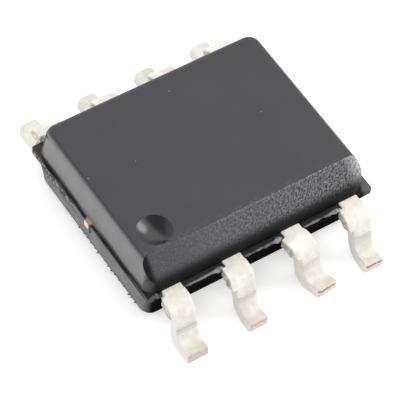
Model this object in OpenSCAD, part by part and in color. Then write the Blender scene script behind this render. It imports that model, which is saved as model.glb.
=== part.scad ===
// Eight-lead small-outline package (SOIC).
// X runs along the lead rows, Y across them and Z is up. The origin is the centre
// of the seating plane, which is the board that the heels of the leads stand on.

/* [Moulded body] */
// Length of the body over its parting flange, along the lead rows
body_l = 4.90; // [4.80:0.01:5.00]
// Width of the body over its parting flange, across the lead rows
body_w = 3.92; // [3.80:0.01:4.00]
// Height of the top face above the board
top_z = 1.56; // [1.50:0.01:1.70]
// Gap between the underside and the board
standoff = 0.16; // [0.10:0.01:0.25]
// Draft of the moulded walls, in degrees
draft = 9; // [5:0.5:10]
// Corner radius of both halves, at the parting flange
corner_r = 0.32; // [0.28:0.01:0.40]
// Rounding of the edge round the top face
top_edge_r = 0.13; // [0.06:0.01:0.16]
// Rounding of the edge round the underside
bottom_edge_r = 0.06; // [0.03:0.01:0.10]

/* [Parting flange] */
// Height of the flange's upper face
flange_z = 0.95; // [0.92:0.01:0.96]
// Thickness of the flange
flange_t = 0.12; // [0.08:0.01:0.14]
// Corner radius of the flange
flange_corner_r = 0.06; // [0.03:0.01:0.10]
// Step from the flange in to the upper half, at the two ends
end_step = 0.06; // [0.05:0.01:0.12]
// Step from the flange in to the upper half, along the lead rows
side_step = 0.03; // [0.01:0.01:0.05]
// Step from the flange in to the lower half, all round
under_step = 0.03; // [0.01:0.01:0.06]
// How far the webs of moulding left between the leads stand out from the flange
web_out = 0.09; // [0.04:0.01:0.12]

/* [Pin 1 marks] */
// Outward run of the chamfer along the pin 1 side
chamfer_run = 0.41; // [0.30:0.01:0.45]
// Drop of the chamfer along the pin 1 side
chamfer_drop = 0.41; // [0.30:0.01:0.45]
// Blend radius where the chamfer meets the top face
chamfer_top_r = 0.08; // [0.04:0.01:0.12]
// Blend radius where the chamfer meets the side wall
chamfer_low_r = 0.42; // [0.20:0.01:0.46]
// Diameter of the dimple beside pin 1
dimple_d = 0.66; // [0.50:0.01:0.70]
// Depth of the dimple
dimple_depth = 0.14; // [0.08:0.01:0.18]
// Distance of the dimple from the middle of the body, along the lead rows
dimple_x = 1.75; // [1.50:0.01:1.78]
// Distance of the dimple from the middle of the body, across the lead rows
dimple_y = 1.09; // [0.90:0.01:1.10]
// Diameter of the ejector pin's mark under the body
ejector_d = 1.00; // [0.80:0.05:1.20]
// Depth of the ejector pin's mark
ejector_depth = 0.03; // [0.02:0.01:0.05]

/* [Leads] */
// Distance from lead to lead
pitch = 1.27; // [1.25:0.01:1.29]
// Width of a lead
lead_w = 0.40; // [0.36:0.01:0.44]
// Thickness of the lead frame
lead_t = 0.22; // [0.19:0.01:0.23]
// Height of the leads' upper face where they leave the body
lead_z = 0.97; // [0.97:0.01:0.99]
// Distance between the toes of the two rows
toe_span = 5.96; // [5.90:0.01:6.10]
// Length of the straight shoulder outside the flange
shoulder = 0.14; // [0.13:0.01:0.17]
// Outer radius of the upper bend
upper_bend_r = 0.385; // [0.36:0.005:0.40]
// Inner radius of the lower bend
lower_bend_r = 0.23; // [0.20:0.005:0.24]
// Lean of the leg out from the vertical, in degrees
leg_lean = 18; // [14:1:20]
// Rise of the foot towards its toe, in degrees
foot_rise = 8; // [5:1:10]
// Rounding that the cut leaves under the toe
toe_r = 0.05; // [0.03:0.01:0.08]
// Width of the sheared dam bar stub on the pin 1 end's side of a lead
stub_near = 0.08; // [0.04:0.01:0.09]
// Width of the sheared dam bar stub on the other side of a lead
stub_far = 0.01; // [0.01:0.01:0.06]
// Angle through which lead 3 is knocked sideways, in degrees
knock_angle = 20; // [10:1:20]
// Distance of that knock's pivot outside the flange
knock_out = 0.10; // [0.09:0.01:0.10]

/* [Lead frame inside] */
// Length of the die paddle
paddle_l = 2.30; // [2.20:0.05:2.40]
// Width of the die paddle
paddle_w = 1.70; // [1.60:0.05:1.75]
// Drop of the paddle below the leads
downset = 0.18; // [0.16:0.01:0.20]
// Width of the tie bars that carry the paddle
tie_w = 0.20; // [0.16:0.01:0.30]
// How far a cut tie bar stands out of the end flange
tie_out = 0.02; // [0.01:0.01:0.04]

/* [Die and bond wires] */
// Length of the silicon die
die_l = 1.50; // [1.40:0.05:1.60]
// Width of the silicon die
die_w = 1.20; // [1.10:0.05:1.30]
// Thickness of the silicon die
die_t = 0.25; // [0.22:0.01:0.28]
// Thickness of the adhesive under the die
attach_t = 0.02; // [0.02:0.005:0.03]
// Diameter of the gold bond wire
wire_d = 0.03; // [0.025:0.005:0.035]
// Height of a wire's straight rise above the die
wire_rise = 0.10; // [0.08:0.01:0.14]
// Bend radius at the top of a wire's loop
wire_bend_r = 0.08; // [0.06:0.01:0.10]

/* [Hidden] */

moulding_grey = "#3f4043";
tin = "#e4e2db";
copper = "#b87348";
silver_epoxy = "#a9a9a6";
silicon = "#5c6270";
gold = "#d9a520";

arc_steps = 8;
past = 0.5;
cut_lap = 0.002;
lead_low_z = lead_z - lead_t;
paddle_top = lead_z - downset;
attach_top = paddle_top + attach_t;
die_top = attach_top + die_t;
wire_r = wire_d / 2;
ball_r = wire_d * 1.15;
ball_h = 0.02;
stitch_r = wire_d;
stitch_h = 0.02;

// Plan of the inner leads: how near the cross axes their tips come
middle_tip_y = 1.05;
middle_bar_w = 0.64;
middle_bar_t = 0.22;
corner_tip_y = 0.68;
corner_tab_x = 1.38;
corner_tab_t = 0.34;
lock_hole_r = 0.09;

// Bond points, as distances from the two cross axes, for a corner lead and a middle lead
corner_bond = [1.52, 0.86];
middle_bond = [0.66, 1.17];
corner_pad = [0.62, 0.40];
middle_pad = [0.30, 0.50];

function arc(centre, r, from, to, steps = arc_steps) =
    [for (i = [0:steps]) let (a = from + (to - from) * i / steps) centre + r * [cos(a), sin(a)]];

// A moulded wall seen in section, from the parting plane up, with its edge rounded.
// u is measured outwards from the axis of the corner, whose radius at the bottom is r.
function wall(r, h, edge_r) =
    let (
        inset = edge_r * tan((90 - draft) / 2),
        centre = [r - h * tan(draft) - inset, h - edge_r]
    )
    concat([[r, 0]], arc(centre, edge_r, draft, 90));

// One half of the moulding, standing on the parting plane: four walls with draft on a
// rectangle l by w, and four corners that are turned about their own upright axes.
module moulded_half(l, w, h, r, edge_r) {
    section = wall(r, h, edge_r);
    for (across = [false, true]) {
        long = across ? w - 2 * r : l - 2 * r;
        wide = across ? l / 2 - r : w / 2 - r;
        right = [for (p = section) [p[0] + wide, p[1]]];
        left = [for (i = [len(right) - 1:-1:0]) [-right[i][0], right[i][1]]];
        rotate([0, 0, across ? 0 : 90]) rotate([90, 0, 0])
            linear_extrude(long, center = true) polygon(concat(right, left));
    }
    for (turn = [0:3]) {
        x = (turn == 0 || turn == 3 ? 1 : -1) * (l / 2 - r);
        y = (turn < 2 ? 1 : -1) * (w / 2 - r);
        translate([x, y, 0]) rotate([0, 0, 90 * turn])
            rotate_extrude(angle = 90) polygon(concat([[0, 0]], section, [[0, h]]));
    }
}

// What the chamfer takes off the upper half, as one long prism over the pin 1 side
module chamfer_cut() {
    slope = atan(chamfer_drop / chamfer_run);
    upper_h = top_z - flange_z;
    // The foot ends just outside the wall, so the cut crosses the wall and doesn't only touch it
    foot_y = -(body_w / 2 - side_step - (upper_h - chamfer_drop) * tan(draft)) - cut_lap;
    brow_y = foot_y + chamfer_run;
    brow_t = chamfer_top_r * tan(slope / 2);
    foot_turn = 90 - draft - slope;
    foot_t = chamfer_low_r * tan(foot_turn / 2);
    brow = arc([brow_y + brow_t, top_z - chamfer_top_r], chamfer_top_r, 90, 90 + slope);
    foot_end = [foot_y, top_z - chamfer_drop] - foot_t * [sin(draft), cos(draft)];
    foot_centre = foot_end + chamfer_low_r * [cos(draft), -sin(draft)];
    foot = arc(foot_centre, chamfer_low_r, 90 + slope, 180 - draft);
    rotate([90, 0, 90]) linear_extrude(body_l + 2 * past, center = true)
        polygon(concat([[brow_y + brow_t, top_z + past]], brow, foot, [[foot_y - past, foot_end[1]],
            [foot_y - past, top_z + past]]));
}

// The thin flange that the mould's two halves meet on
module flange() {
    x = body_l / 2 - flange_corner_r;
    y = body_w / 2 - flange_corner_r;
    translate([0, 0, flange_z - flange_t]) linear_extrude(flange_t) {
        square([2 * x, body_w], center = true);
        square([body_l, 2 * y], center = true);
        for (sx = [-1, 1], sy = [-1, 1]) translate([sx * x, sy * y]) circle(flange_corner_r, $fn = 32);
    }
}

// The web of moulding between two neighbouring leads, out to where the dam bar was cut
module webs() {
    for (side = [-1, 1], gap = [-1:1])
        translate([gap * pitch, side * (body_w / 2 + web_out / 2 - past / 2), flange_z - flange_t / 2])
            cube([pitch - lead_w, web_out + past, flange_t], center = true);
}

module moulding() {
    difference() {
        union() {
            translate([0, 0, flange_z])
                moulded_half(body_l - 2 * end_step, body_w - 2 * side_step, top_z - flange_z,
                    corner_r, top_edge_r);
            flange();
            webs();
            translate([0, 0, flange_z - flange_t]) mirror([0, 0, 1])
                moulded_half(body_l - 2 * under_step, body_w - 2 * under_step,
                    flange_z - flange_t - standoff, corner_r, bottom_edge_r);
        }
        chamfer_cut();
        dimple_r = (pow(dimple_d / 2, 2) + pow(dimple_depth, 2)) / (2 * dimple_depth);
        translate([-dimple_x, -dimple_y, top_z + dimple_r - dimple_depth]) sphere(dimple_r, $fn = 64);
        translate([0, 0, standoff - past]) cylinder(h = past + ejector_depth, d = ejector_d, $fn = 64);
    }
}

// The gull wing outside the body in section: y runs outwards from the flange's edge
function lead_bends() =
    let (
        upper = [shoulder, lead_z - upper_bend_r],
        lower_r = lower_bend_r + lead_t,
        knee = upper + upper_bend_r * [cos(leg_lean), sin(leg_lean)],
        leg = (knee[1] - lower_r + lower_bend_r * sin(leg_lean)) / cos(leg_lean),
        lower = knee + leg * [sin(leg_lean), -cos(leg_lean)]
            + lower_bend_r * [cos(leg_lean), sin(leg_lean)]
    )
    [upper, lower];

module wing_section() {
    bends = lead_bends();
    upper = bends[0];
    lower = bends[1];
    toe_y = (toe_span - body_w) / 2;
    heel = lower + (lower_bend_r + lead_t) * [sin(foot_rise), -cos(foot_rise)];
    foot_l = (toe_y - heel[0]) / cos(foot_rise);
    along = [cos(foot_rise), sin(foot_rise)];
    up = [-sin(foot_rise), cos(foot_rise)];
    toe_centre = heel + (foot_l - toe_r) * along + toe_r * up;
    upper_side = concat([[-past / 4, lead_z]], arc(upper, upper_bend_r, 90, leg_lean),
        arc(lower, lower_bend_r, 180 + leg_lean, 270 + foot_rise),
        [heel + foot_l * along + lead_t * up]);
    lower_side = concat(arc(toe_centre, toe_r, foot_rise, foot_rise - 90),
        arc(lower, lower_bend_r + lead_t, 270 + foot_rise, 180 + leg_lean),
        arc(upper, upper_bend_r - lead_t, leg_lean, 90), [[-past / 4, lead_low_z]]);
    polygon(concat(upper_side, lower_side));
}

// The stretch of the upper bend that the dam bar crossed
module stub_section() {
    upper = lead_bends()[0];
    start = web_out + 0.01;
    polygon(concat([[start, lead_z]], arc(upper, upper_bend_r, 90, leg_lean + 4),
        arc(upper, upper_bend_r - lead_t, leg_lean + 4, 90), [[start, lead_low_z]]));
}

module wing() {
    rotate([90, 0, 0]) rotate([0, -90, 0]) {
        linear_extrude(lead_w, center = true) wing_section();
        translate([0, 0, (stub_near - stub_far) / 2])
            linear_extrude(lead_w + stub_near + stub_far, center = true) stub_section();
    }
}

// Plan of the part of a lead that the moulding holds. toward is the side of the next lead.
module shank_plan(corner, toward) {
    edge = body_w / 2;
    if (corner)
        difference() {
            union() {
                translate([-lead_w / 2, -edge]) square([lead_w, edge - corner_tip_y]);
                tab = 1.5 * pitch - corner_tab_x;
                translate([toward > 0 ? 0 : -tab, -corner_tip_y - corner_tab_t]) square([tab, corner_tab_t]);
            }
            translate([0, -edge + 0.45]) circle(lock_hole_r, $fn = 32);
        }
    else
        union() {
            translate([-lead_w / 2, -edge]) square([lead_w, edge - middle_tip_y]);
            translate([-middle_bar_w / 2, -middle_tip_y - middle_bar_t]) square([middle_bar_w, middle_bar_t]);
        }
}

// A lead of the pin 1 row, at its place in the row
module row_lead(place) {
    x = (place - 2.5) * pitch;
    corner = place == 1 || place == 4;
    translate([x, 0, lead_low_z]) linear_extrude(lead_t) shank_plan(corner, x < 0 ? 1 : -1);
    if (place == 3) {
        translate([x, -body_w / 2, 0]) knocked_wing();
    } else {
        translate([x, -body_w / 2, 0]) wing();
    }
}

module knocked_wing() {
    translate([-lead_w / 2, -knock_out, lead_low_z]) cube([lead_w, knock_out, lead_t]);
    translate([0, -knock_out, lead_low_z]) cylinder(h = lead_t, r = lead_w / 2, $fn = 48);
    translate([0, -knock_out, 0]) rotate([0, 0, knock_angle]) translate([0, knock_out, 0])
        difference() {
            wing();
            translate([-lead_w, -knock_out, 0]) cube([2 * lead_w, past, top_z]);
        }
}

// Leads 1 to 4 stand on the pin 1 side. Leads 5 to 8 face leads 4 to 1 across the body,
// and none of those is knocked, so lead 6 is formed as lead 2 is.
module lead(number) {
    color(tin)
        if (number <= 4) {
            row_lead(number);
        } else if (number == 6) {
            mirror([0, 1, 0]) translate([2 * (3 - 2.5) * pitch, 0, 0]) row_lead(2);
        } else {
            mirror([0, 1, 0]) row_lead(9 - number);
        }
}

module die_paddle() {
    slope_l = 0.26;
    tie_end = body_l / 2 + tie_out;
    bend_x = paddle_l / 2 + slope_l;
    color(copper) {
        translate([0, 0, paddle_top - lead_t / 2]) cube([paddle_l, paddle_w, lead_t], center = true);
        for (end = [0, 1]) mirror([end, 0, 0]) translate([0, tie_w / 2, 0]) rotate([90, 0, 0])
            linear_extrude(tie_w)
                polygon([[0, paddle_top], [paddle_l / 2, paddle_top], [bend_x, lead_z], [tie_end, lead_z],
                    [tie_end, lead_low_z], [bend_x, lead_low_z], [paddle_l / 2, paddle_top - lead_t],
                    [0, paddle_top - lead_t]]);
    }
}

module die_attach() {
    color(silver_epoxy) translate([0, 0, paddle_top + attach_t / 2])
        cube([die_l, die_w, attach_t], center = true);
}

module die() {
    color(silicon) translate([0, 0, attach_top + die_t / 2]) cube([die_l, die_w, die_t], center = true);
}

// One bond wire in its own upright plane: a ball on the die at the origin, a rise, a bend
// and a long fall to the stitch on a lead at distance reach
module wire_loop(reach) {
    rise_top = die_top + ball_h + wire_rise;
    centre = [wire_bend_r, rise_top];
    landing = [reach, lead_z + wire_r];
    span = landing - centre;
    turn_end = atan2(span[1], span[0]) + acos(wire_bend_r / norm(span));
    translate([0, 0, die_top]) cylinder(h = ball_h, r = ball_r, $fn = 24);
    translate([0, 0, die_top + ball_h]) cylinder(h = wire_rise, r = wire_r, $fn = 16);
    translate([centre[0], 0, centre[1]]) rotate([90, 0, 0]) rotate([0, 0, turn_end]) {
        rotate_extrude(angle = 180 - turn_end) translate([wire_bend_r, 0]) circle(wire_r, $fn = 16);
        fall_l = sqrt(pow(norm(span), 2) - pow(wire_bend_r, 2));
        translate([wire_bend_r, 0, 0]) rotate([90, 0, 0]) cylinder(h = fall_l, r = wire_r, $fn = 16);
    }
    translate([reach, 0, lead_z]) cylinder(h = stitch_h, r = stitch_r, $fn = 24);
}

module bond_wire(number) {
    place = number <= 4 ? number : 9 - number;
    corner = place == 1 || place == 4;
    sx = place <= 2 ? -1 : 1;
    sy = number <= 4 ? -1 : 1;
    pad = corner ? corner_pad : middle_pad;
    land = corner ? corner_bond : middle_bond;
    from = [sx * pad[0], sy * pad[1]];
    to = [sx * land[0], sy * land[1]];
    color(gold) translate([from[0], from[1], 0])
        rotate([0, 0, atan2(to[1] - from[1], to[0] - from[0])]) wire_loop(norm(to - from));
}

// The moulding flows round everything inside it, so its cavities are those pieces
module body() {
    color(moulding_grey) difference() {
        moulding();
        for (number = [1:8]) {
            lead(number);
            bond_wire(number);
        }
        die_paddle();
        die_attach();
        die();
    }
}

body();
for (number = [1:8]) lead(number);
die_paddle();
die_attach();
die();
for (number = [1:8]) bond_wire(number);
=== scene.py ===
import math

import bmesh
import bpy
from mathutils import Matrix, Vector, noise


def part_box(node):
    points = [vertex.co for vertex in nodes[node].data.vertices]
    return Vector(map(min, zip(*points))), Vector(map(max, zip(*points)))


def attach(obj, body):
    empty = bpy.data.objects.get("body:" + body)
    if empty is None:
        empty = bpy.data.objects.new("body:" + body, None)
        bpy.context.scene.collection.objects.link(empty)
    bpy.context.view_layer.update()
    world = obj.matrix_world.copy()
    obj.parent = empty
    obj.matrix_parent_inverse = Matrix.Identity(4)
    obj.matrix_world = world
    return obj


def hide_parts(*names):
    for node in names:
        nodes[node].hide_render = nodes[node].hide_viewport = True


# A small-outline chip with eight leads. The CAD solids are dressed, the leads are formed again with the marks
# of their making, torn resin and flash are added, and all of it stands in a plain studio.
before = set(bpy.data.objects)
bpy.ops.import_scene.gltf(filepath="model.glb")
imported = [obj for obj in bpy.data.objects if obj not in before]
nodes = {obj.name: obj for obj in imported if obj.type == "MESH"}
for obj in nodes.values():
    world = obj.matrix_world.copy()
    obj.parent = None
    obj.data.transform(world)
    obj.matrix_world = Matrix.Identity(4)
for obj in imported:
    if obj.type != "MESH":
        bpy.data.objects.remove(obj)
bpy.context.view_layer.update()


# ---------------------------------------------------------------- sizes, in millimetres and degrees
# x runs along the rows of leads, y across them, and z up from the solder feet. Pin 1 has the lowest x and y.
MM = 0.001
X, Y, Z = range(3)
LEADS = range(1, 9)


def box_mm(name):
    """The lowest and the highest corner of a CAD node."""
    lo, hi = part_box(name)
    return lo / MM, hi / MM


# from the frame; the middle of lead_6 lies half a pitch from the middle of the row
CASE_END_X, WEB_EDGE_Y, CASE_TOP_Z = box_mm("body")[1]
TIE_END_X = box_mm("die_paddle")[1].x
LEAD_Z = box_mm("lead_1")[1].z
PITCH = sum(corner.x for corner in box_mm("lead_6"))

# as in part.scad: the case's flange, walls and dimple, the leads with their stubs, and the tie bars
FLANGE_Y, FLANGE_Z, FLANGE_T = 1.96, 0.95, 0.12
FLANGE_LOW_Z = FLANGE_Z - FLANGE_T
UNDER_STEP, DRAFT = 0.03, 9.0
DIMPLE_X, DIMPLE_Y, DIMPLE_R = 1.75, 1.09, 0.33
LEAD_W, LEAD_T = 0.40, 0.22
SHOULDER_Y, UPPER_R, LEAN, LOWER_R, RISE = 2.10, 0.385, 18.0, 0.23, 8.0
TOE_Y, TOE_R = 2.98, 0.05
STUB_Y, STUB_NEAR, STUB_FAR = 2.06, 0.08, 0.01
TIE_HALF_W = 0.10

# only here: where the sloping band begins, the lowest heights of the end walls and of the band's foot,
# and the bead on the flange's corner by pin 1
BAND_Y = 1.44
WALL_LOW_Z, BAND_LOW_Z = FLANGE_Z + 0.005, FLANGE_Z + 0.05
CORNER_BEAD_X, CORNER_BEAD_HALF = 2.29, 0.10


def side_of(number):
    """Leads 1 to 4 stand on the pin 1 side, and leads 8 to 5 behind them."""
    return -1 if number <= 4 else 1


def place_in_row(number):
    """From 1 to 4. Lead 8 stands across from lead 1."""
    return number if number <= 4 else 9 - number


# ---------------------------------------------------------------- node helpers
class Tree:
    """A short way to write a node tree. Places in it are the part's own, in millimetres."""

    def __init__(self, tree):
        self.tree = tree

    def node(self, kind, **settings):
        node = self.tree.nodes.new(kind)
        for key, value in settings.items():
            setattr(node, key, value)
        return node

    def put(self, socket, value):
        """Gives a socket either another node's output or a plain value."""
        if isinstance(value, bpy.types.NodeSocket):
            self.tree.links.new(value, socket)
        else:
            socket.default_value = value

    def math(self, operation, a, b=0.0):
        node = self.node("ShaderNodeMath", operation=operation)
        self.put(node.inputs[0], a)
        self.put(node.inputs[1], b)
        return node.outputs[0]

    def chain(self, operation, values):
        out, *rest = values
        for value in rest:
            out = self.math(operation, out, value)
        return out

    def plus(self, *values):
        return self.chain("ADD", values)

    def times(self, *values):
        return self.chain("MULTIPLY", values)

    def total(self, *pairs):
        """The sum of each value times its factor."""
        return self.plus(*(self.times(value, factor) for value, factor in pairs))

    def absolute(self, value):
        return self.math("ABSOLUTE", value)

    def ramp(self, value, lo, hi, out_lo=0.0, out_hi=1.0, smooth=True):
        """Goes from out_lo to out_hi while the value goes from lo to hi, and stays there beyond them."""
        node = self.node("ShaderNodeMapRange", interpolation_type="SMOOTHSTEP" if smooth else "LINEAR")
        for i, setting in enumerate((value, lo, hi, out_lo, out_hi)):
            self.put(node.inputs[i], setting)
        return node.outputs[0]

    def mix(self, factor, a, b):
        """Goes from colour a to colour b. A Mix node's colours are its inputs 6 and 7, and its output 2."""
        node = self.node("ShaderNodeMix", data_type="RGBA")
        self.put(node.inputs[0], factor)
        self.put(node.inputs[6], a)
        self.put(node.inputs[7], b)
        return node.outputs[2]

    def noise(self, vector, scale, detail=3.0, rough=0.55):
        node = self.node("ShaderNodeTexNoise", noise_dimensions="3D")
        self.put(node.inputs["Vector"], vector)
        node.inputs["Scale"].default_value = scale
        node.inputs["Detail"].default_value = detail
        node.inputs["Roughness"].default_value = rough
        return node.outputs[0]

    def cells(self, vector, scale):
        node = self.node("ShaderNodeTexVoronoi", feature="F1")
        self.put(node.inputs["Vector"], vector)
        node.inputs["Scale"].default_value = scale
        return node.outputs["Distance"]

    def attribute(self, name):
        return self.node("ShaderNodeAttribute", attribute_name=name).outputs["Fac"]

    def place(self):
        """The place on the part, as one vector and as its three numbers."""
        scaled = self.node("ShaderNodeMapping")
        scaled.inputs["Scale"].default_value = (1 / MM,) * 3
        self.put(scaled.inputs["Vector"], self.node("ShaderNodeTexCoord").outputs["Object"])
        split = self.node("ShaderNodeSeparateXYZ")
        self.put(split.inputs[0], scaled.outputs[0])
        return scaled.outputs[0], split.outputs

    def facing(self, axis):
        """How far the surface faces along an axis."""
        split = self.node("ShaderNodeSeparateXYZ")
        self.put(split.inputs[0], self.node("ShaderNodeNewGeometry").outputs["Normal"])
        return split.outputs[axis]

    def bump(self, height, distance, strength):
        node = self.node("ShaderNodeBump")
        node.inputs["Strength"].default_value = strength
        node.inputs["Distance"].default_value = distance * MM
        self.put(node.inputs["Height"], height)
        return node.outputs[0]

    def seen(self):
        """1 for the rays that show a backdrop, straight, in gloss or through glass, and 0 for the others."""
        ray = self.node("ShaderNodeLightPath")
        kinds = ("Is Camera Ray", "Is Glossy Ray", "Is Transmission Ray")
        return self.chain("MAXIMUM", [ray.outputs[kind] for kind in kinds])


def material(name):
    mat = bpy.data.materials.new(name)
    mat.use_nodes = True
    t = Tree(mat.node_tree)
    t.tree.nodes.clear()
    shader = t.node("ShaderNodeBsdfPrincipled", name="Principled BSDF")
    out = t.node("ShaderNodeOutputMaterial")
    t.put(out.inputs[0], shader.outputs[0])
    return mat, t, shader


def shader_of(mat):
    return mat.node_tree.nodes["Principled BSDF"]


def grey(value, tint=(1.0, 1.0, 1.0)):
    return (value * tint[0], value * tint[1], value * tint[2], 1.0)


# ---------------------------------------------------------------- the case's materials
def moulding_top():
    """Ground-smooth face: nearly even, with the compound's faint clouds and a few pale filler specks."""
    mat, t, shader = material("moulding_top")
    point, (x, y, _) = t.place()
    cloud = t.noise(point, 1.1, 3.0, 0.5)
    fine = t.noise(point, 60.0, 2.0, 0.6)
    dark, light = grey(0.036, (1.0, 0.955, 1.13)), grey(0.040, (1.0, 0.965, 1.12))
    base = t.mix(t.ramp(cloud, 0.35, 0.65), dark, light)
    base = t.mix(t.ramp(fine, 0.40, 0.75, 0.0, 0.4), base, grey(0.062, (1, 0.97, 1.08)))
    some = t.ramp(t.noise(point, 2.3, 1.0), 0.56, 0.60)
    specks = t.times(t.ramp(t.cells(point, 3.1), 0.060, 0.030), some)
    base = t.mix(t.times(specks, 0.6), base, grey(0.34, (1, 0.98, 0.94)))
    # the band's grain frays into the top along its upper edge
    torn = t.ramp(t.noise(point, 17.0, 2.0, 0.6), 0.48, 0.66)
    fray = t.times(t.ramp(y, 0.14 - BAND_Y, -0.02 - BAND_Y), torn, t.ramp(x, 2.2, -1.2, 0.25, 0.55))
    base = t.mix(fray, base, grey(0.105, (1, 0.97, 1.05)))
    # painted shade, then painted light: the rounded edge at the two ends is painted darker first, then takes
    # the end wall's painted lighter tone
    end = t.absolute(t.facing(X))
    base = t.mix(t.ramp(end, 0.04, 0.32), base, grey(0.026))
    base = t.mix(t.ramp(end, 0.34, 0.90), base, grey(0.21))
    t.put(shader.inputs["Base Color"], base)
    t.put(shader.inputs["Roughness"], t.ramp(fine, 0.3, 0.7, 0.50, 0.62))
    t.put(shader.inputs["Normal"], t.bump(fine, 0.0012, 0.6))
    return mat


def moulding_band():
    """The band along the pin 1 side keeps the mould's coarse grain, down to its rounded foot, which is
    painted dark as painted shade.
    """
    mat, t, shader = material("moulding_chamfer")
    _, (x, y, z) = t.place()
    # the grain runs aslant down the band, nearly twice as long as it is wide
    slant = t.node("ShaderNodeCombineXYZ")
    t.put(slant.inputs[X], t.total((x, -0.46), (y, -0.25), (z, -0.23)))
    t.put(slant.inputs[Y], t.total((x, 0.60), (y, -0.59), (z, -0.54)))
    grain = t.noise(slant.outputs[0], 28.0, 2.0, 0.5)
    fine = t.noise(slant.outputs[0], 46.0, 1.0, 0.5)
    pits = t.total((grain, 0.55), (fine, 0.45))
    # painted light: the grain's light and dark are painted stronger towards the far end of the row
    along = t.ramp(x, -1.9, 2.0, 0.25, 1.05)
    light = t.ramp(pits, 0.38, 0.64, -0.80, 1.65, smooth=False)
    tone = t.plus(1.0, t.times(light, along, 0.90))
    # painted highlight on the brow, and painted shade on the foot, low down and at the near end
    up = t.facing(Z)
    painted_brow_highlight = t.times(t.ramp(up, 0.74, 0.82, 0.0, 0.018), along)
    level = t.times(t.plus(t.ramp(x, -2.0, -0.6, 0.080, 0.100), painted_brow_highlight),
                    t.ramp(up, 0.28, 0.62, 0.05, 1.0),
                    t.ramp(z, FLANGE_Z + 0.20, FLANGE_Z + 0.37, 0.10, 1.0),
                    t.ramp(x, 0.22 - CASE_END_X, 0.34 - CASE_END_X, 0.03, 1.0),
                    tone)
    # painted highlight at the far end, on its top and along its edge
    top = t.times(t.ramp(x, CASE_END_X - 0.47, CASE_END_X - 0.15, 0.0, 0.32),
                  t.ramp(z, FLANGE_Z + 0.13, FLANGE_Z + 0.53, 0.10, 1.0))
    edge = t.times(t.ramp(x, CASE_END_X - 0.25, CASE_END_X - 0.09, 0.0, 0.13),
                   t.ramp(z, FLANGE_Z + 0.03, FLANGE_Z + 0.15, 0.4, 1.0))
    far = t.times(t.plus(top, edge), t.ramp(pits, 0.36, 0.62, 0.6, 1.1))
    mixed = t.node("ShaderNodeCombineColor")
    for i, tint in enumerate((0.99, 0.97, 1.04)):
        t.put(mixed.inputs[i], t.total((level, tint), (far, 1.0)))
    t.put(shader.inputs["Base Color"], mixed.outputs[0])
    shader.inputs["Specular IOR Level"].default_value = 0.16
    t.put(shader.inputs["Roughness"], t.ramp(pits, 0.35, 0.65, 0.45, 0.65))
    t.put(shader.inputs["Normal"], t.bump(pits, 0.020, 0.8))
    return mat


def moulding_dull(name, low, high, rough, gloss, grain=50.0, depth=0.004, marks=None):
    """Moulding compound between two greys. A function of its local marks may change the colour."""
    mat, t, shader = material(name)
    point, xyz = t.place()
    fine = t.noise(point, grain, 3.0, 0.65)
    cloud = t.noise(point, 2.5, 3.0, 0.6)
    base = t.mix(t.ramp(t.total((fine, 0.5), (cloud, 0.5)), 0.35, 0.65), low, high)
    if marks:
        base = marks(t, base, point, xyz)
    t.put(shader.inputs["Base Color"], base)
    t.put(shader.inputs["Roughness"], t.ramp(fine, 0.3, 0.7, rough - 0.08, rough + 0.08))
    shader.inputs["Specular IOR Level"].default_value = gloss
    t.put(shader.inputs["Normal"], t.bump(fine, depth, 0.7))
    return mat


def painted_light_on_corners(t, base, point, xyz):
    """Painted light: the upper corners turn from the ends' painted lighter tone to the dark walls at once,
    and lower down more gently.
    """
    _, _, z = xyz
    end = t.absolute(t.facing(X))
    low = t.times(t.ramp(z, FLANGE_Z + 0.45, FLANGE_Z + 0.13, 0.0, 0.55), t.ramp(end, 0.35, 0.92))
    return t.mix(t.math("MAXIMUM", t.ramp(end, 0.86, 0.975), low), base, grey(0.20))


def painted_shade_at_foot(t, base, point, xyz):
    """Painted shade: the end walls are painted dark along the flange, in waves that die out at the tie bar.
    """
    _, y, z = xyz
    wave = t.plus(z, t.times(t.noise(point, 1.3, 2.0, 0.5), -0.20))
    dark = t.times(t.ramp(wave, FLANGE_Z - 0.005, FLANGE_Z - 0.035), t.ramp(t.absolute(y), 0.15, 0.50))
    return t.mix(t.times(dark, 0.92), base, grey(0.006))


def flange_corners(t, xyz):
    """The corners of the flange, but for the one by pin 1."""
    x, y, _ = xyz
    endwise = t.ramp(t.absolute(x), CASE_END_X - 0.25, CASE_END_X - 0.13)
    sideways = t.ramp(t.absolute(y), FLANGE_Y - 0.46, FLANGE_Y - 0.24)
    return t.times(endwise, sideways, t.ramp(t.plus(x, y), -1.5, -0.5))


def pale_flange(t, base, point, xyz):
    """Painted light: the lower corners turn slowly to a paler tone towards the ends, and the flange's rim is
    pale at its corners.
    """
    x, y, z = xyz
    base = t.mix(t.ramp(t.absolute(t.facing(X)), 0.40, 0.97), base, grey(0.20))
    # painted highlight: two pale patches on the rim by pin 1
    near = t.times(t.ramp(x, 0.41 - CASE_END_X, 0.33 - CASE_END_X),
                   t.ramp(y, 0.16 - FLANGE_Y, 0.06 - FLANGE_Y))
    notch = t.ramp(t.absolute(t.plus(x, CASE_END_X - 0.215)), 0.02, 0.07, 0.30, 1.0)
    painted_rim_highlights = t.times(near, notch, t.ramp(z, FLANGE_LOW_Z - 0.015, FLANGE_LOW_Z + 0.015))
    base = t.mix(painted_rim_highlights, base, grey(0.13, (1.03, 0.97, 1.02)))
    rim = t.times(flange_corners(t, xyz), t.ramp(z, FLANGE_LOW_Z - 0.005, FLANGE_LOW_Z + 0.005))
    return t.mix(rim, base, grey(0.12, (0.98, 1.0, 0.96)))


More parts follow.
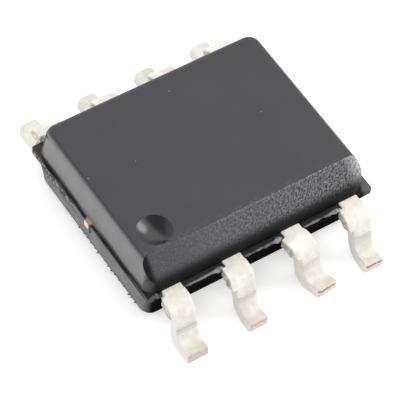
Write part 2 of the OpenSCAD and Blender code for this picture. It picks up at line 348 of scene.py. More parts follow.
def torn_flange_and_painted_light(t, base, point, xyz):
    """The flange's top is paler at its corners and along the torn edges of the webs, and painted paler along
    its outer ends as painted light.
    """
    x, y, _ = xyz
    near, far = grey(0.060, (1.12, 0.96, 0.93)), grey(0.135, (0.98, 1.0, 0.95))
    base = t.mix(flange_corners(t, xyz), base, t.mix(t.ramp(x, -0.5, 0.5), near, far))
    out_x, out_y = t.absolute(x), t.absolute(y)
    # painted light: the shelf's outer ends are paler, in waves
    wave = t.plus(t.times(t.noise(point, 1.7, 2.0, 0.6), 0.20), out_x)
    painted_light_ends = t.times(t.ramp(wave, CASE_END_X + 0.055, CASE_END_X + 0.075),
                   t.ramp(out_x, CASE_END_X - 0.055, CASE_END_X - 0.045))
    base = t.mix(painted_light_ends, base, grey(0.095))
    torn = t.times(t.ramp(out_y, FLANGE_Y + 0.005, WEB_EDGE_Y - 0.005),
                   t.ramp(t.noise(point, 16.0, 3.0, 0.6), 0.40, 0.60, 0.05, 1.0))
    return t.mix(torn, base, grey(0.060))


def bead_ends(t, base, point, xyz):
    """Each bead is palest at its thick end, beside a lead. The one on the flange's corner is the darkest."""
    x, _, _ = xyz
    along = t.math("FRACT", t.plus(t.times(x, 1 / PITCH), (LEAD_W + PITCH) / (2 * PITCH)))
    thick = t.times(t.ramp(along, 0.76, 0.87), t.ramp(t.noise(point, 14.0, 2.0), 0.40, 0.56, 0.2, 1.0))
    base = t.mix(t.times(thick, 0.8), base, grey(0.34, (1.0, 1.0, 0.98)))
    corner = t.ramp(x, 0.17 - CORNER_BEAD_X, 0.13 - CORNER_BEAD_X, 0.0, 0.75)
    return t.mix(corner, base, grey(0.030, (1.04, 0.97, 1.04)))


def flash_specks(t, base, point, xyz):
    """Broken flash under the flange, along one half of each end wall and much thinner on the far one."""
    x, y, z = xyz
    reach = t.plus(t.times(t.noise(point, 2.2, 2.0, 0.6), 0.30), z)
    where = t.times(t.ramp(y, 0.0, 0.8), t.ramp(reach, FLANGE_LOW_Z - 0.23, FLANGE_LOW_Z + 0.01),
                    t.ramp(x, 2.0, -2.0, 0.35, 1.0))
    specks = t.times(t.ramp(t.noise(point, 19.0, 2.0, 0.7), 0.50, 0.62), where)
    base = t.mix(t.times(where, 0.95), base, grey(0.014))
    return t.mix(t.times(specks, 0.9), base, grey(0.42, (1, 0.99, 0.97)))


def from_dimple(t, xyz):
    """How far a place is from the dimple's middle, along x and along y."""
    x, y, _ = xyz
    return t.plus(x, DIMPLE_X), t.plus(y, DIMPLE_Y)


def painted_dimple_shade_and_light(t, base, point, xyz):
    """Painted shade and light: the dimple's polished wall is painted darker than its floor, and painted
    paler, towards the top's tone, on two sides.
    """
    dx, dy = from_dimple(t, xyz)
    radius = t.math("SQRT", t.plus(t.times(dx, dx), t.times(dy, dy)))
    floor = t.ramp(t.plus(radius, t.total((dx, 0.2), (dy, 0.2))), 0.04, 0.20)
    base = t.mix(floor, grey(0.032, (1.0, 0.97, 1.08)), base)
    base = t.mix(t.ramp(t.total((dx, -0.85), (dy, -0.53)), 0.10, 0.26), base, grey(0.046, (1.0, 0.96, 1.10)))
    return t.mix(t.ramp(t.total((dx, 0.90), (dy, -0.43)), 0.14, 0.28), base, grey(0.042, (1.0, 0.95, 1.10)))


def unpolish(mat):
    """The dimple is polished only on the half towards the case's near end."""
    t = Tree(mat.node_tree)
    _, xyz = t.place()
    dx, dy = from_dimple(t, xyz)
    rough = t.ramp(t.total((dx, 0.97), (dy, 0.24)), -0.03, 0.15, 0.30, 1.0)
    t.put(shader_of(mat).inputs["Roughness"], rough)


# ---------------------------------------------------------------- the metals' materials
# the copper that the cut left bare on each toe: depth under its top edge, half width, strength, colour,
# and how dull the rest of the cut face is
BARE, PALE = (0.39, 0.160, 0.045, 1), (0.56, 0.33, 0.20, 1)
STREAKS = {1: (0.030, 0.030, 0.40, PALE, 0.55), 2: (0.034, 0.030, 0.90, PALE, 0.30),
           3: (0.038, 0.034, 0.95, BARE, 0.15), 4: (0.046, 0.036, 0.95, BARE, 0.20),
           5: (0.045, 0.022, 0.85, BARE, 0.30), 6: (0.036, 0.020, 0.80, PALE, 0.40),
           7: (0.040, 0.026, 0.60, PALE, 0.35), 8: (0.042, 0.022, 0.85, BARE, 0.30)}
# how dark the painted shade in the creases of the lower bend is: on leads 1 and 2, and on the others
DEEP_CREASE_SHADE, SHALLOW_CREASE_SHADE = 0.75, 0.58


def tinned(number):
    """Matte tin over copper. The mesh carries where it is sheared, and where painted shade falls in its
    creases and in its lower bend's hollow.
    """
    mat, t, shader = material(f"tinned_{number}")
    point, (_, y, z) = t.place()
    soft = t.noise(point, 2.8, 2.0, 0.5)
    mottle = t.noise(point, 10.0, 2.0, 0.5)
    fine = t.noise(point, 55.0, 3.0, 0.65)
    dark, light = grey(0.74, (1.0, 0.955, 0.86)), grey(0.90, (1.0, 0.972, 0.905))
    base = t.mix(t.ramp(t.total((soft, 0.6), (mottle, 0.4)), 0.35, 0.65), dark, light)
    base = t.mix(t.ramp(z, LEAD_T + 0.23, LEAD_T, 0.0, 0.30), base, grey(0.60, (1.0, 0.96, 0.89)))
    # painted light: the sides that face along x are painted paler
    painted_light_sides = t.ramp(t.absolute(t.facing(X)), 0.70, 0.95, 0.0, 0.45)
    base = t.mix(painted_light_sides, base, grey(0.94, (1.0, 0.985, 0.955)))
    # painted shade in the creases of the lower bend
    creased = t.times(t.attribute("creased"), t.ramp(t.noise(point, 26.0, 1.0), 0.40, 0.58, 0.35, 1.0),
                      DEEP_CREASE_SHADE if number in (1, 2) else SHALLOW_CREASE_SHADE)
    base = t.mix(creased, base, grey(0.32, (1.0, 0.97, 0.92)))
    # painted shade in the hollow of the lower bend
    hollow = t.times(t.attribute("hollow"), t.ramp(mottle, 0.32, 0.62, 0.55, 1.0), 0.36)
    base = t.mix(hollow, base, grey(0.40, (1.0, 0.98, 0.93)))
    # the foot's own axes, from the toe's lower edge: out along it, and up across its thickness
    slope = math.radians(RISE)
    past_toe = t.plus(t.times(y, side_of(number)), -TOE_Y)
    out = t.total((past_toe, math.cos(slope)), (z, math.sin(slope)))
    up = t.total((z, math.cos(slope)), (past_toe, -math.sin(slope)))
    toe = t.ramp(out, -0.014, -0.008)
    depth, half, strength, tint, dull = STREAKS[number]
    base = t.mix(t.times(toe, dull), base, grey(0.44, (1.0, 0.96, 0.91)))
    wander = t.times(t.plus(t.noise(point, 5.0, 1.0), -0.5), 0.05)
    off = t.absolute(t.plus(up, wander, depth - LEAD_T))
    broken = t.ramp(t.noise(point, 9.0, 2.0, 0.6), 0.30, 0.46)
    base = t.mix(t.times(toe, t.ramp(off, half, half * 0.45), broken, strength), base, tint)
    rub = t.times(t.attribute("sheared"), t.ramp(mottle, 0.35, 0.60, 0.25, 1.0))
    base = t.mix(rub, base, (0.36, 0.27, 0.20, 1))
    t.put(shader.inputs["Base Color"], base)
    shader.inputs["Metallic"].default_value = 0.15
    shader.inputs["Specular IOR Level"].default_value = 0.5
    t.put(shader.inputs["Roughness"], t.ramp(mottle, 0.3, 0.7, 0.42, 0.58))
    t.put(shader.inputs["Normal"], t.bump(t.plus(mottle, t.times(fine, 0.3)), 0.006, 0.55))
    return mat


def plain(name, colour, metallic, rough, grain, depth):
    """A finely mottled material for the pieces inside."""
    mat, t, shader = material(name)
    point, _ = t.place()
    mottle = t.noise(point, grain, 3.0, 0.6)
    darker = [part * 0.8 for part in colour[:3]] + [1.0]
    t.put(shader.inputs["Base Color"], t.mix(mottle, darker, colour))
    shader.inputs["Metallic"].default_value = metallic
    t.put(shader.inputs["Roughness"], t.ramp(mottle, 0.3, 0.7, rough - 0.08, rough + 0.08))
    t.put(shader.inputs["Normal"], t.bump(mottle, depth, 0.6))
    return mat


def frame_copper():
    """The lead frame's copper, with the cut ends of its tie bars."""
    mat = plain("frame_copper", (0.72, 0.43, 0.27, 1), metallic=0.55, rough=0.4, grain=30.0, depth=0.003)
    t = Tree(mat.node_tree)
    _, (x, y, z) = t.place()
    out_x = t.absolute(x)
    socket = shader_of(mat).inputs["Base Color"]
    bare = socket.links[0].from_socket
    pale_or_dark = t.mix(t.ramp(z, FLANGE_LOW_Z, FLANGE_LOW_Z + 0.02), grey(0.14), (0.80, 0.74, 0.70, 1))
    face = t.ramp(out_x, TIE_END_X - 0.0065, TIE_END_X - 0.0025)
    cut = t.mix(t.times(face, 0.9), bare, pale_or_dark)
    # resin has smeared over both sides of the cut end
    smear = t.times(t.ramp(t.absolute(y), TIE_HALF_W - 0.038, TIE_HALF_W - 0.028),
                    t.ramp(out_x, CASE_END_X - 0.05, CASE_END_X - 0.04))
    t.put(socket, t.mix(smear, cut, grey(0.14)))
    return mat


# ---------------------------------------------------------------- CAD nodes that are carried over
BELOW, ABOVE = "LESS_THAN", "GREATER_THAN"
WELD = 0.0002
# edges up to these angles are shaded smoothly
SMOOTH_CASE, SMOOTH_WIRE, SMOOTH_LEAD = 26.0, 40.0, 48.0


class Faces:
    """Picks faces in a geometry node group, by where they lie and which way they face."""

    def __init__(self, group):
        self.new = group.nodes.new
        self.link = group.links.new

    def compare(self, value, operation, limit):
        node = self.new("FunctionNodeCompare")
        node.data_type = "FLOAT"
        node.operation = operation
        node.inputs[1].default_value = limit
        self.link(value, node.inputs[0])
        return node.outputs[0]

    def along(self, axis, kind):
        """One of the three numbers of a face's position or normal."""
        split = self.new("ShaderNodeSeparateXYZ")
        self.link(self.new(kind).outputs[0], split.inputs[0])
        return split.outputs[axis]

    def place(self, axis, operation, limit):
        return self.compare(self.along(axis, "GeometryNodeInputPosition"), operation, limit * MM)

    def facing(self, axis, operation, limit):
        return self.compare(self.along(axis, "GeometryNodeInputNormal"), operation, limit)

    def near(self, point, limit):
        """Faces whose middle is less than the limit from a point."""
        gap = self.new("ShaderNodeVectorMath")
        gap.operation = "DISTANCE"
        gap.inputs[1].default_value = [part * MM for part in point]
        self.link(self.new("GeometryNodeInputPosition").outputs[0], gap.inputs[0])
        return self.compare(gap.outputs["Value"], BELOW, limit * MM)

    def join(self, operation, picks):
        out, *rest = picks
        for pick in rest:
            node = self.new("FunctionNodeBooleanMath")
            node.operation = operation
            self.link(out, node.inputs[0])
            self.link(pick, node.inputs[1])
            out = node.outputs[0]
        return out

    def every(self, *picks):
        return self.join("AND", picks)

    def either(self, *picks):
        return self.join("OR", picks)


def is_side(faces):
    return faces.facing(Z, BELOW, 0.5)


def is_end_wall(faces):
    """The end walls above the flange, with the part of their rounded edges that faces straight along x."""
    steep = faces.either(faces.facing(X, BELOW, -0.955), faces.facing(X, ABOVE, 0.955))
    straight = faces.every(faces.facing(Y, ABOVE, -0.05), faces.facing(Y, BELOW, 0.05), is_side(faces))
    return faces.every(faces.either(steep, straight), faces.place(Z, ABOVE, WALL_LOW_Z))


def is_lower_end(faces):
    steep = faces.either(faces.facing(X, BELOW, -0.80), faces.facing(X, ABOVE, 0.80))
    return faces.every(steep, faces.place(Z, BELOW, WALL_LOW_Z))


def is_under(faces):
    """The flange's rim and all that lies below it."""
    return faces.every(faces.facing(Z, BELOW, 0.05), faces.place(Z, BELOW, WALL_LOW_Z))


def is_dimple(faces):
    bowl = faces.near((-DIMPLE_X, -DIMPLE_Y, CASE_TOP_Z - 0.06), DIMPLE_R + 0.01)
    return faces.every(bowl, faces.place(Z, BELOW, CASE_TOP_Z - 0.0008))


def is_flange_top(faces):
    return faces.every(faces.facing(Z, ABOVE, 0.9), faces.place(Z, BELOW, BAND_LOW_Z))


def is_band(faces):
    """The sloping band with its rounded brow and foot, between the case's corners."""
    where = faces.every(faces.place(Y, BELOW, -BAND_Y), faces.place(Z, ABOVE, BAND_LOW_Z))
    slope = faces.every(faces.facing(Y, BELOW, -0.20), faces.facing(Z, ABOVE, 0.17))
    flat = faces.every(faces.facing(X, ABOVE, -0.02), faces.facing(X, BELOW, 0.02))
    return faces.every(where, slope, flat)


def eased(obj, angle, picks=()):
    """Welds a CAD mesh's seams and shades its small arcs smoothly. Each pick is a material and its faces."""
    group = bpy.data.node_groups.new("eased_" + obj.name, "GeometryNodeTree")
    for way in ("INPUT", "OUTPUT"):
        group.interface.new_socket("Geometry", in_out=way, socket_type="NodeSocketGeometry")
    faces = Faces(group)

    def step(before, kind, name, value):
        """The next node along the chain of geometry, with one of its inputs set."""
        node = faces.new(kind)
        node.inputs[name].default_value = value
        faces.link(before.outputs[0], node.inputs["Geometry"])
        return node

    last = faces.new("NodeGroupInput")
    last = step(last, "GeometryNodeMergeByDistance", "Distance", WELD * MM)
    last = step(last, "GeometryNodeRemoveAttribute", "Name", "custom_normal")
    last = step(last, "GeometryNodeSetShadeSmooth", "Shade Smooth", True)
    last.domain = "FACE"
    last = step(last, "GeometryNodeSetShadeSmooth", "Shade Smooth", False)
    last.domain = "EDGE"
    crease = faces.new("GeometryNodeInputMeshEdgeAngle").outputs["Unsigned Angle"]
    faces.link(faces.compare(crease, ABOVE, math.radians(angle)), last.inputs["Selection"])
    for mat, pick in picks:
        last = step(last, "GeometryNodeSetMaterial", "Material", mat)
        faces.link(pick(faces), last.inputs["Selection"])
    faces.link(last.outputs[0], faces.new("NodeGroupOutput").inputs[0])
    obj.modifiers.new("eased", "NODES").node_group = group


def wear(obj, mat):
    obj.data.materials.clear()
    obj.data.materials.append(mat)


# painted light: the lower end walls, and the flash crumbs that share this material, are much paler greys than
# the rest of the moulding
LOWER_END = moulding_dull("moulding_lower_end", grey(0.120), grey(0.235), rough=0.60, gloss=0.30,
                          grain=38.0, depth=0.010, marks=flash_specks)


def dress_case():
    """A later pick goes over an earlier one, and the top keeps what no pick takes."""
    # the side walls have less gloss, and their near-black greys, much darker than the top's, are painted
    # shade
    side = moulding_dull("moulding_side", grey(0.004, (1, 0.95, 1.05)), grey(0.009, (1, 0.97, 1.05)),
                         rough=0.55, gloss=0.10, marks=painted_light_on_corners)
    # painted shade: the flange's rim and all below it are near-black greys
    under = moulding_dull("moulding_under", grey(0.006), grey(0.014),
                          rough=0.90, gloss=0.0, marks=pale_flange)
    # the shelf is rough, and its greys, darker than the top's, are painted shade
    flange = moulding_dull("moulding_shelf", grey(0.012), grey(0.026),
                           rough=0.70, gloss=0.12, marks=torn_flange_and_painted_light)
    # the end walls are glossier, and their much paler greys are painted light
    end = moulding_dull("moulding_end", grey(0.093, (1, 0.99, 1.05)), grey(0.130, (1, 0.99, 1.05)),
                        rough=0.42, gloss=1.0, grain=40.0, depth=0.002, marks=painted_shade_at_foot)
    shader_of(end).inputs["Coat Weight"].default_value = 0.5
    shader_of(end).inputs["Coat Roughness"].default_value = 0.45
    # painted shade: the dimple's greys are near black, far darker than the top's
    dimple = moulding_dull("moulding_dimple", grey(0.002), grey(0.004), rough=0.30, gloss=0.78,
                           grain=30.0, depth=0.0005, marks=painted_dimple_shade_and_light)
    unpolish(dimple)
    wear(nodes["body"], moulding_top())
    picks = [(side, is_side), (end, is_end_wall), (under, is_under), (LOWER_END, is_lower_end),
             (flange, is_flange_top), (dimple, is_dimple), (moulding_band(), is_band)]
    eased(nodes["body"], SMOOTH_CASE, picks)


# ---------------------------------------------------------------- pieces made here
def add_piece(name, places, faces, mat):
    """One mesh from places in millimetres, with its faces turned outwards and shaded smoothly."""
    mesh = bpy.data.meshes.new(name)
    mesh.from_pydata([Vector(place) * MM for place in places], [], faces)
    bm = bmesh.new()
    bm.from_mesh(mesh)
    bmesh.ops.recalc_face_normals(bm, faces=bm.faces)
    bm.to_mesh(mesh)
    bm.free()
    mesh.shade_smooth()
    o = bpy.data.objects.new(name, mesh)
    bpy.context.scene.collection.objects.link(o)
    wear(o, mat)
    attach(o, "root")
    return o


def uneven(*key):
    """Smooth noise of either sign, at a key of three numbers."""
    return noise.noise(Vector(key))


def clamp(value, lo=0.0, hi=1.0):
    return min(hi, max(lo, value))


def bell(distance, width):
    return math.exp(-(distance / width) ** 2)


def skin(rings, count):
    """The faces between rings of so many vertices each, and across both ends."""
    faces = []
    for first in range(0, (rings - 1) * count, count):
        for j in range(count):
            k = (j + 1) % count
            faces.append((first + j, first + k, first + count + k, first + count + j))
    faces.append(tuple(range(count - 1, -1, -1)))
    faces.append(tuple(range((rings - 1) * count, rings * count)))
    return faces


# ---------------------------------------------------------------- leads, with soft and sheared edges
# The same gull wing as in part.scad, followed along its upper face from inside the case to the toe.
START_Y = 1.80
SHOULDER = SHOULDER_Y - START_Y
SHOULDER_STEPS, BEND_STEPS, LEG_STEPS, FOOT_STEPS = 13, 26, 14, 22
TOP_STEPS, LOW_STEPS, SIDE_STEPS, CORNER_STEPS = 10, 6, 4, 4
# the upper and lower edges' roundings, on the lead and on its stubs, and the toe's corners
EDGE_R, LOW_EDGE_R, STUB_EDGE_R, STUB_LOW_EDGE_R, TOE_CORNER_R = 0.030, 0.022, 0.014, 0.012, 0.07
# how far the upper face drops at the toe, and over what length
TOE_DROP, TOE_DROP_LENGTH = 0.010, 0.014
# where the stubs of the dam bar begin, and where they end, 4 degrees before the bend does
STUB_SPAN = (STUB_Y - START_Y, SHOULDER + UPPER_R * math.radians(90 - LEAN - 4))
STUB_TEAR = 0.014
# how ragged the cut sides are, on the lead and on its stubs
RAGGED, STUB_RAGGED = 0.005, 0.012
# the lead's soft unevenness, in two sizes: height, and waves to the millimetre
UNEVEN = ((0.0045, 7), (0.0018, 17))
# lead_3 was knocked: beyond this y it leans sideways, and its toe has turned back
KNOCK_Y, KNOCK_EASE, SLANT, TOE_TURN = 2.06, 0.06, 0.285, 0.10
# two feet were pressed wider on one side, which begins this far along the upper face
SPREAD, SPREAD_AT, SPREAD_LENGTH = {1: 0.055, 3: 0.035}, 0.85, 0.30
# creases across the lower bend, by place in the row: distance along the upper face, depth, half width
CREASES = {
    1: ((1.01, 0.008, 0.015), (1.07, 0.004, 0.028)),
    2: ((0.99, 0.008, 0.014), (1.05, 0.004, 0.028)),
    3: ((0.96, 0.007, 0.012), (1.01, 0.006, 0.012), (1.07, 0.006, 0.015)),
    4: ((0.95, 0.007, 0.013), (1.01, 0.007, 0.013), (1.08, 0.005, 0.016)),
}
FULL_CREASE = 0.008
# where the painted shade in the lower bend's hollow is darkest along the upper face, by place in the row, and
# how wide it is
BEND_SHADE_AT, BEND_SHADE_WIDTH = {1: 1.00, 2: 1.03, 3: 1.00, 4: 1.00}, 0.075
# the marks of the upper face fade out within this depth down the sides, and begin just past the shoulder
TOP_SKIN, MARKS_AT = 0.05, SHOULDER + 0.02


def straight(start, angle, length, steps, picked):
    """Stations (y, z, angle of the upper face's normal) along a straight stretch."""
    a = math.radians(angle)
    away = [length * i / steps for i in picked]
    return [(start[0] + d * math.sin(a), start[1] - d * math.cos(a), angle) for d in away]


def bend(middle, radius, first, last, inward=0.0):
    """Stations round a bend. inward is 180 where the upper face is on the bend's inner side."""
    out = []
    for i in range(BEND_STEPS + 1):
        angle = first + (last - first) * i / BEND_STEPS
        a = math.radians(angle)
        out.append((middle[0] + radius * math.cos(a), middle[1] + radius * math.sin(a), angle - inward))
    return out


def gull_wing():
    """The stations of the whole upper face."""
    lean, rise = math.radians(LEAN), math.radians(RISE)
    low_r = LOWER_R + LEAD_T
    upper = (SHOULDER_Y, LEAD_Z - UPPER_R)
    knee = (upper[0] + UPPER_R * math.cos(lean), upper[1] + UPPER_R * math.sin(lean))
    leg = (knee[1] - low_r + LOWER_R * math.sin(lean)) / math.cos(lean)
    lower = (knee[0] + leg * math.sin(lean) + LOWER_R * math.cos(lean),
             knee[1] - leg * math.cos(lean) + LOWER_R * math.sin(lean))
    foot = (TOE_Y - lower[0] - low_r * math.sin(rise)) / math.cos(rise)
    path = straight((START_Y, LEAD_Z), 90.0, SHOULDER, SHOULDER_STEPS, range(SHOULDER_STEPS))
    path += bend(upper, UPPER_R, 90.0, LEAN)
    path += straight(knee, LEAN, leg, LEG_STEPS, range(1, LEG_STEPS))
    path += bend(lower, LOWER_R, 180 + LEAN, 270 + RISE, 180.0)
    path += straight(path[-1], 90 + RISE, foot, FOOT_STEPS, range(1, FOOT_STEPS + 1))
    return path


def add_station(stations, at):
    """Puts one more station in, at this length along the upper face."""
    for (before, a), (after, b) in zip(stations, stations[1:]):
        if before < at < after:
            f = (at - before) / (after - before)
            stations.append((at, tuple(p + (q - p) * f for p, q in zip(a, b))))
            stations.sort()
            return


def lead_stations():
    """Pairs of a length along the upper face and a station, closer together at the stubs' ends and toe."""
    path = gull_wing()
    stations = [(0.0, path[0])]
    for p, q in zip(path, path[1:]):
        stations.append((stations[-1][0] + math.hypot(q[0] - p[0], q[1] - p[1]), q))
    toe = stations[-1][0]
    for end in STUB_SPAN:
        add_station(stations, end - STUB_TEAR / 2)
        add_station(stations, end + STUB_TEAR / 2)
    for back in (0.068, 0.052, 0.038, 0.026, 0.016, 0.009, 0.004):
        add_station(stations, toe - back)
    return stations


STATIONS = lead_stations()
TOE_AT = STATIONS[-1][0]


def rounded_off(to_end, radius):
    """How far a rounding has left the straight side, at this distance from the end."""
    return radius - math.sqrt(radius ** 2 - max(0.0, radius - to_end) ** 2)


def half_widths(number, seed, at, in_stub):
    """How far the lead reaches to either side of its middle."""
    left = right = LEAD_W / 2
    ragged = RAGGED
    if in_stub:
        left += STUB_NEAR
        right += STUB_FAR
        ragged = STUB_RAGGED
    left += ragged * uneven(seed, at * 9, 1.7)
    right += ragged * uneven(seed + 5, at * 9, 4.1)
    # the front leads' toes are less rounded on one side
    left -= rounded_off(TOE_AT - at, TOE_CORNER_R)
    right -= rounded_off(TOE_AT - at, TOE_CORNER_R if side_of(number) > 0 else TOE_CORNER_R / 2)
    left += SPREAD.get(number, 0.0) * clamp((at - SPREAD_AT) / SPREAD_LENGTH)
    return left, right


def corner(across, depth, radius, quarter, picked):
    """Points round one of the four corners of a section, from its middle."""
    turns = [math.radians(90 * (quarter + i / CORNER_STEPS)) for i in picked]
    return [(across + radius * math.sin(a), depth - radius * math.cos(a)) for a in turns]


def section(left, right, thick, r_top, r_low):
    """The lead's section as points (across, depth under the upper face), once round from its upper left."""
    top, low, side = left + right - 2 * r_top, left + right - 2 * r_low, thick - r_top - r_low
    ring = [(r_top - left + top * i / TOP_STEPS, 0.0) for i in range(TOP_STEPS + 1)]
    ring += corner(right - r_top, r_top, r_top, 0, range(1, CORNER_STEPS + 1))
    ring += [(right, r_top + side * i / SIDE_STEPS) for i in range(1, SIDE_STEPS)]
    ring += corner(right - r_low, thick - r_low, r_low, 1, range(CORNER_STEPS + 1))
    ring += [(right - r_low - low * i / LOW_STEPS, thick) for i in range(1, LOW_STEPS)]
    ring += corner(r_low - left, thick - r_low, r_low, 2, range(CORNER_STEPS + 1))
    ring += [(-left, thick - r_low - side * i / SIDE_STEPS) for i in range(1, SIDE_STEPS)]
    ring += corner(r_top - left, r_top, r_top, 3, range(CORNER_STEPS))
    return ring


def crease_depth(number, seed, across, at):
    """How deep the creases of the lower bend are at a place on the upper face."""
    depth = 0.0
    for k, (middle, deep, width) in enumerate(CREASES[place_in_row(number)]):
        wander = 0.02 * uneven(across * 5 + seed, k * 3.1, 8.0)
        depth += deep * bell(at - middle - wander, width)
    from_left = across + LEAD_W / 2
    if number == 4 and from_left > 0:
        # a fold that sweeps from the bend's side towards the toe
        sweep = 0.06 + 0.30 * math.exp(-from_left / 0.10)
        depth += 0.006 * bell(TOE_AT - at - sweep, 0.016) * clamp((0.12 - across) / 0.08)
    return depth


def unevenness(seed, across, at):
    """How far the upper face stands out at a place."""
    (height, waves), (low_height, more_waves) = UNEVEN
    return (height * uneven(across * waves + seed, at * waves, 0.3)
            + low_height * uneven(across * more_waves + seed, at * more_waves, 2.3))


def knock(v):
    """Leans a vertex of lead_3 sideways, and leaves its toe nearly square to the row."""
    f = clamp((v.y - KNOCK_Y + KNOCK_EASE) / (2 * KNOCK_EASE))
    f *= f * (3 - 2 * f)
    across = v.x
    v.x += SLANT * f * (v.y - KNOCK_Y)
    v.y -= TOE_TURN * f * across


def build_lead(number):
    """One ring of vertices for each station, then bent, placed and kept within the solid's box."""
    middle_x = (place_in_row(number) - 2.5) * PITCH
    seed = number * 7.31
    lo, hi = box_mm(f"lead_{number}")
    places = []
    marks = {"sheared": [], "creased": [], "hollow": []}
    for at, (y, z, angle) in STATIONS:
        normal = Vector((0, math.cos(math.radians(angle)), math.sin(math.radians(angle))))
        in_stub = STUB_SPAN[0] < at < STUB_SPAN[1]
        left, right = half_widths(number, seed, at, in_stub)
        drop = TOE_DROP * clamp(1 - (TOE_AT - at) / TOE_DROP_LENGTH) ** 2
        thick = LEAD_T - rounded_off(TOE_AT - at, TOE_R) - drop
        r_top, r_low = min(EDGE_R, thick / 3), min(LOW_EDGE_R, thick / 3)
        if in_stub:
            r_top, r_low = STUB_EDGE_R, STUB_LOW_EDGE_R
        for across, depth in section(left, right, thick, r_top, r_low):
            on_top = max(0.0, 1 - depth / TOP_SKIN)
            creases = crease_depth(number, seed, across, at)
            v = Vector((across, y, z)) - normal * (drop + depth)
            if at > MARKS_AT:
                v += normal * (unevenness(seed, across, at) - creases) * on_top
            if number == 3:
                knock(v)
            y_in_box = clamp(v.y * side_of(number), lo.y, hi.y)
            places.append((v.x + middle_x, y_in_box, max(v.z, lo.z + 0.0001)))
            # copper shows on the sheared sides of the stubs, under their top edges
            on_stub_side = in_stub and abs(across) > LEAD_W / 2 + 0.004 and depth > 0.02
            marks["sheared"].append(0.75 if on_stub_side else 0.0)
            marks["creased"].append(min(1.0, creases / FULL_CREASE) * on_top)
            marks["hollow"].append(bell(at - BEND_SHADE_AT[place_in_row(number)], BEND_SHADE_WIDTH) * on_top)
    faces = skin(len(STATIONS), len(places) // len(STATIONS))
    o = add_piece(f"formed_lead_{number}", places, faces, tinned(number))
    for name, values in marks.items():
        o.data.attributes.new(name, "FLOAT", "POINT").data.foreach_set("value", values)
    o.data.set_sharp_from_angle(angle=math.radians(SMOOTH_LEAD))
    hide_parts(f"lead_{number}")


# ---------------------------------------------------------------- torn resin, left where the dam bar was cut
TORN = moulding_dull("moulding_torn", grey(0.020), grey(0.24, (1, 0.99, 0.97)), rough=0.42, gloss=0.4,
                     grain=14.0, depth=0.008, marks=bead_ends)
BEAD_POINTS, BEAD_STEPS, CORNER_BEAD_STEPS = 10, 90, 24
# a bead's radius, how much raggedness changes it, the least that it leaves, and the radius at the tips
BEAD_R, BEAD_RAGGED, BEAD_LEAST_R, BEAD_TIP_R = 0.020, 0.012, 0.004, 0.001
# the extra radius at the bead's thickest place, and that place and its width as shares of the length
THICK_R, THICK_AT, THICK_WIDTH = 0.032, 0.85, 0.09


def add_bead(places, faces, side, middle, half, edge_y, steps):
    """A ragged bead along the flange's edge, pointed at its ends and thickest just before the far one."""
    first = len(places)
    for i in range(steps + 1):
        f = i / steps
        x = middle - half + 2 * half * f
        key = Vector((x * 6, side * 3.0, 1.0))
        ragged = noise.noise(key) + 0.6 * noise.noise(key * 3.3)
        thicker = THICK_R * bell(f - THICK_AT, THICK_WIDTH)
        radius = max(BEAD_LEAST_R, BEAD_R + BEAD_RAGGED * ragged + thicker)
        radius = radius * min(1.0, 12 * f, 12 * (1 - f)) + BEAD_TIP_R
        y = edge_y + 0.010 * noise.noise(key * 1.7 + Vector((0, 0, 5)))
        z = FLANGE_Z + 0.006 * noise.noise(key * 2.1 + Vector((0, 0, 9)))
        for j in range(BEAD_POINTS):
            a = 2 * math.pi * j / BEAD_POINTS
            r = radius * (1 + 0.30 * uneven(x * 22, side * 2.0 + j, 3.0))
            places.append((x, side * (y + r * math.cos(a)), z + r * math.sin(a)))
    faces += [tuple(first + k for k in face) for face in skin(steps + 1, BEAD_POINTS)]


def torn_rims():
    """A bead along each web's outer edge, and a short one on the flange's corner by pin 1."""
    places, faces = [], []
    half = (PITCH - LEAD_W) / 2 - 0.005
    for side in (-1, 1):
        for gap in (-1, 0, 1):
            add_bead(places, faces, side, gap * PITCH, half, WEB_EDGE_Y - 0.012, BEAD_STEPS)
    add_bead(places, faces, -1, -CORNER_BEAD_X, CORNER_BEAD_HALF, FLANGE_Y - 0.010, CORNER_BEAD_STEPS)
    o = add_piece("torn_web_rims", places, faces, TORN)


def between(low, high, *key):
    """A number from low to high that jumps about from key to key."""
    v = math.sin(sum((i + 1) * 12.9898 * part for i, part in enumerate(key)) + 4.1) * 43758.5453
    return low + (high - low) * (v - math.floor(v))


# crumbs on each end wall, the points round each, and the stretch of y that they lie along
CRUMBS, CRUMB_POINTS = 15, 5
CRUMBS_FROM_Y, CRUMBS_LENGTH = -1.60, 2.10


def flash_crumbs():
    """Crumbs of flash near the lower edge of the two end walls, each a low pointed heap."""
    places, faces = [], []
    for end in (-1, 1):
        for i in range(CRUMBS):
            y = CRUMBS_FROM_Y + CRUMBS_LENGTH * (i + between(0.0, 0.7, i, end)) / CRUMBS
            z = between(0.20, 0.30, i, end, 2)
            wall = CASE_END_X - UNDER_STEP - (FLANGE_LOW_Z - z) * math.tan(math.radians(DRAFT))
            reach = between(0.024, 0.054, i, end, 3)
            wide = between(0.022, 0.044, i, end, 4)
            first = len(places)
            for k in range(CRUMB_POINTS):
                a = 2 * math.pi * k / CRUMB_POINTS + i
                places.append((end * (wall - 0.010), y + wide * math.cos(a), z + 0.7 * wide * math.sin(a)))
            places.append((end * (wall + reach), y + 0.4 * wide, z - 0.3 * wide))
            base = range(first, first + CRUMB_POINTS)
            tip = first + CRUMB_POINTS
            faces += [(k, first + (k + 1 - first) % CRUMB_POINTS, tip) for k in base]
            faces.append(tuple(base))
    o = add_piece("end_flash", places, faces, LOWER_END)


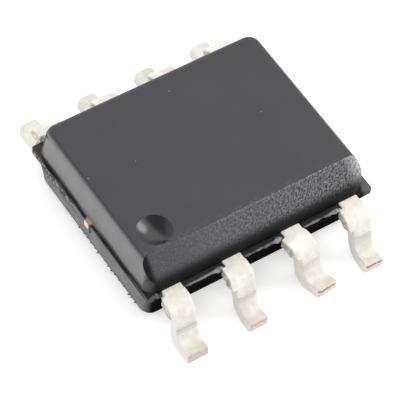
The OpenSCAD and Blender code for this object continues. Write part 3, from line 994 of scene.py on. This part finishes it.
def dress_inside():
    adhesive = plain("adhesive", (0.62, 0.62, 0.60, 1), metallic=0.3, rough=0.6, grain=40.0, depth=0.003)
    silicon = plain("silicon", (0.22, 0.24, 0.29, 1), metallic=0.2, rough=0.25, grain=8.0, depth=0.0005)
    gold = plain("gold", (0.85, 0.62, 0.22, 1), metallic=1.0, rough=0.3, grain=60.0, depth=0.001)
    wear(nodes["die_paddle"], frame_copper())
    wear(nodes["die_attach"], adhesive)
    wear(nodes["die"], silicon)
    for number in LEADS:
        wear(nodes[f"wire_{number}"], gold)
        eased(nodes[f"wire_{number}"], SMOOTH_WIRE)


# ---------------------------------------------------------------- floor, world, lights and camera
def make_floor():
    """A pale floor just under the solder feet, which keeps the part's shadow."""
    bpy.ops.mesh.primitive_plane_add(size=600 * MM, location=(0, 0, -0.002 * MM))
    floor = bpy.context.object
    floor.name = "floor"
    mat = bpy.data.materials.new("floor_pale")
    mat.use_nodes = True
    t = Tree(mat.node_tree)
    t.tree.nodes.clear()
    diffuse = t.node("ShaderNodeBsdfDiffuse")
    diffuse.inputs["Color"].default_value = (0.86, 0.86, 0.86, 1)
    glow = t.node("ShaderNodeEmission")
    t.put(glow.inputs["Strength"], t.times(t.seen(), 0.45))
    both = t.node("ShaderNodeAddShader")
    t.put(both.inputs[0], diffuse.outputs[0])
    t.put(both.inputs[1], glow.outputs[0])
    t.put(t.node("ShaderNodeOutputMaterial").inputs[0], both.outputs[0])
    wear(floor, mat)


def make_world():
    """White where it is seen, and dimmer as a light."""
    world = bpy.data.worlds.new("studio")
    bpy.context.scene.world = world
    world.use_nodes = True
    t = Tree(world.node_tree)
    t.tree.nodes.clear()
    background = t.node("ShaderNodeBackground")
    background.inputs["Color"].default_value = (1, 1, 1, 1)
    t.put(background.inputs["Strength"], t.plus(t.times(t.seen(), 0.40), 0.60))
    t.put(t.node("ShaderNodeOutputWorld").inputs[0], background.outputs[0])


def lamp(name, direction, distance, size, level):
    """A soft round lamp. level is the brightness it gives a white surface that faces it."""
    data = bpy.data.lights.new(name, "AREA")
    data.shape = "DISK"
    data.size = size * MM
    data.energy = level * (math.pi * distance * MM) ** 2
    light = bpy.data.objects.new(name, data)
    bpy.context.scene.collection.objects.link(light)
    towards = Vector(direction).normalized()
    light.location = (towards * distance + Vector((0, 0, 1))) * MM
    light.rotation_mode = "QUATERNION"
    light.rotation_quaternion = towards.to_track_quat("Z", "Y")


def make_camera(turn, height, roll, distance, right_by, up_by, lens):
    """A camera that looks at the origin, rolled and then moved in its own plane."""
    turn, height, roll = (math.radians(v) for v in (turn, height, roll))
    back = Vector((math.sin(turn) * math.cos(height), -math.cos(turn) * math.cos(height), math.sin(height)))
    level_right = (-back).cross(Vector((0, 0, 1))).normalized()
    level_up = level_right.cross(-back)
    right = math.cos(roll) * level_right + math.sin(roll) * level_up
    up = math.cos(roll) * level_up - math.sin(roll) * level_right
    eye = (back * distance + right * right_by + up * up_by) * MM
    data = bpy.data.cameras.new("camera")
    data.sensor_width = 36.0
    data.lens = lens
    data.clip_start = 1 * MM
    data.clip_end = 5000 * MM
    camera = bpy.data.objects.new("camera", data)
    bpy.context.scene.collection.objects.link(camera)
    camera.matrix_world = Matrix.Translation(eye) @ Matrix((right, up, back)).transposed().to_4x4()
    bpy.context.scene.camera = camera


dress_case()
for number in LEADS:
    build_lead(number)
torn_rims()
flash_crumbs()
dress_inside()

make_floor()
make_world()
lamp("key", (-0.40, -0.30, 0.85), distance=120, size=120, level=0.22)
lamp("left", (-0.95, 0.35, 0.10), distance=100, size=100, level=0.32)
lamp("right", (0.81, -0.20, 0.53), distance=100, size=72, level=0.62)
lamp("back", (-0.12, 0.97, 0.20), distance=120, size=100, level=0.22)
# the photograph's viewing angle and frame
make_camera(turn=-38.7849, height=53.6001, roll=7.0186, distance=46.4107, right_by=0.0376, up_by=-0.0271,
            lens=225.40446)
bpy.context.scene.view_settings.view_transform = "Standard"
